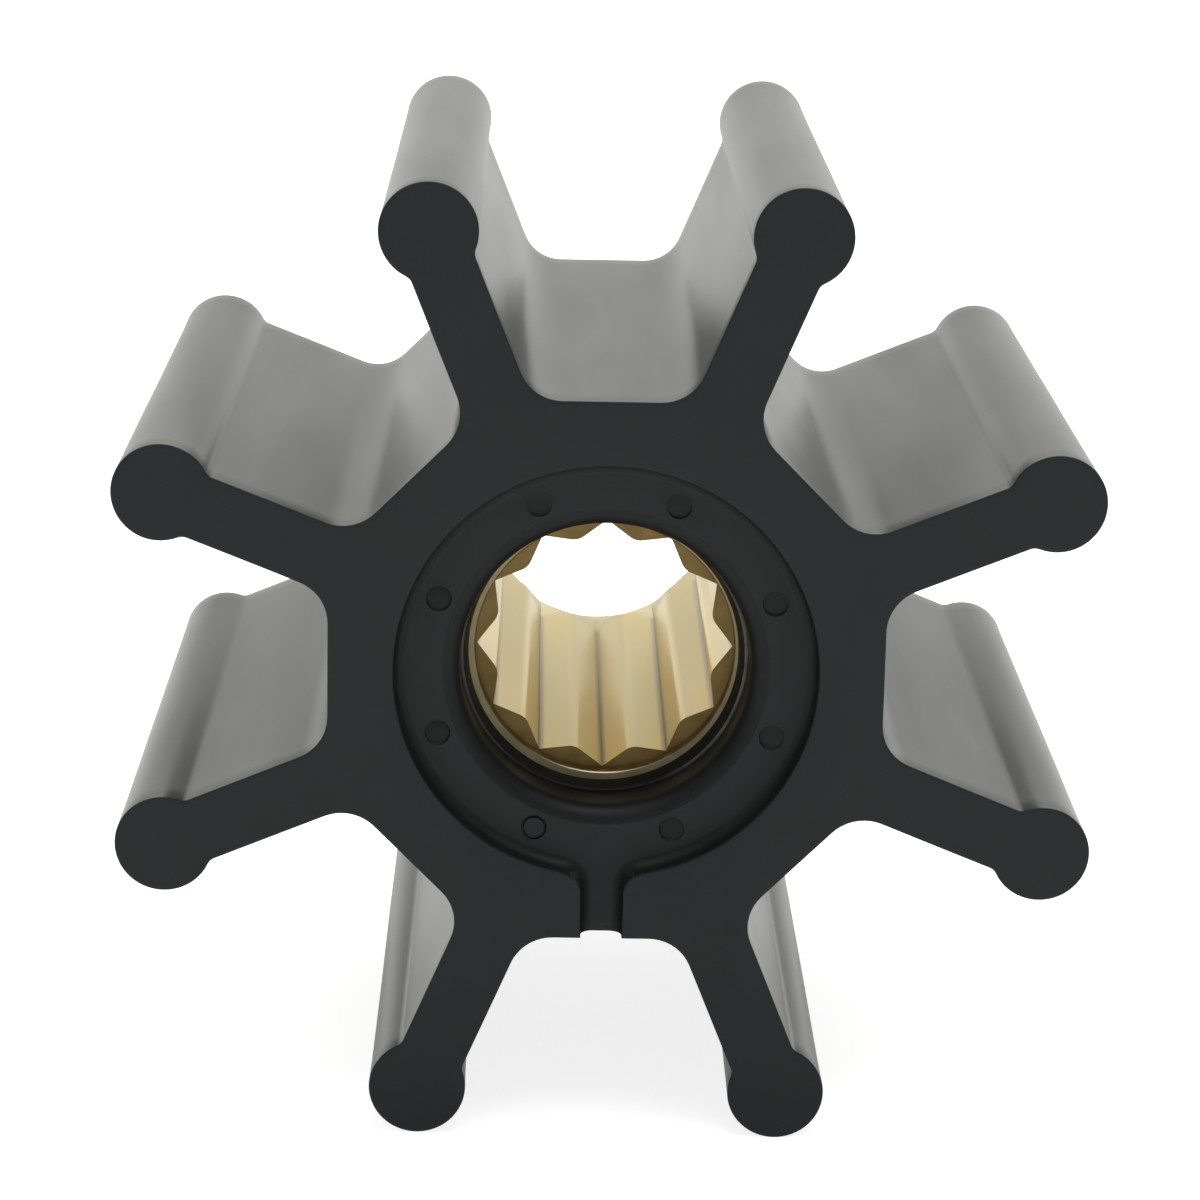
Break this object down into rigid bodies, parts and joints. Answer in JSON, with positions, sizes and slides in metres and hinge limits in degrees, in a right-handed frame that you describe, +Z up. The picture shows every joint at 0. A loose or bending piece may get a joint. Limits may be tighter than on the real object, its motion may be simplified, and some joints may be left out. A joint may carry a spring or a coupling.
{
  "type": "rubber pump impeller",
  "caption": "Flexible-vane pump impeller: straight rubber vanes with round beaded tips on a hub moulded round a brass bush with a splined bore.",
  "frame": {"origin": "on the bore's axis, half way between the two end faces", "axes": "+Y along the bore, away from the slotted front end face; +Z up, half way between two vanes and opposite the slot"},
  "size_m": [0.0606, 0.05, 0.0606],
  "materials": {
    "black_rubber": "matt on the end faces, satin on the moulded vanes",
    "brass": "drawn and broached, bright in the spline, dull on the end faces"
  },
  "bodies": {
    "root": {"rubber_body": "black_rubber", "brass_bush": "brass"}
  },
  "joints": []
}
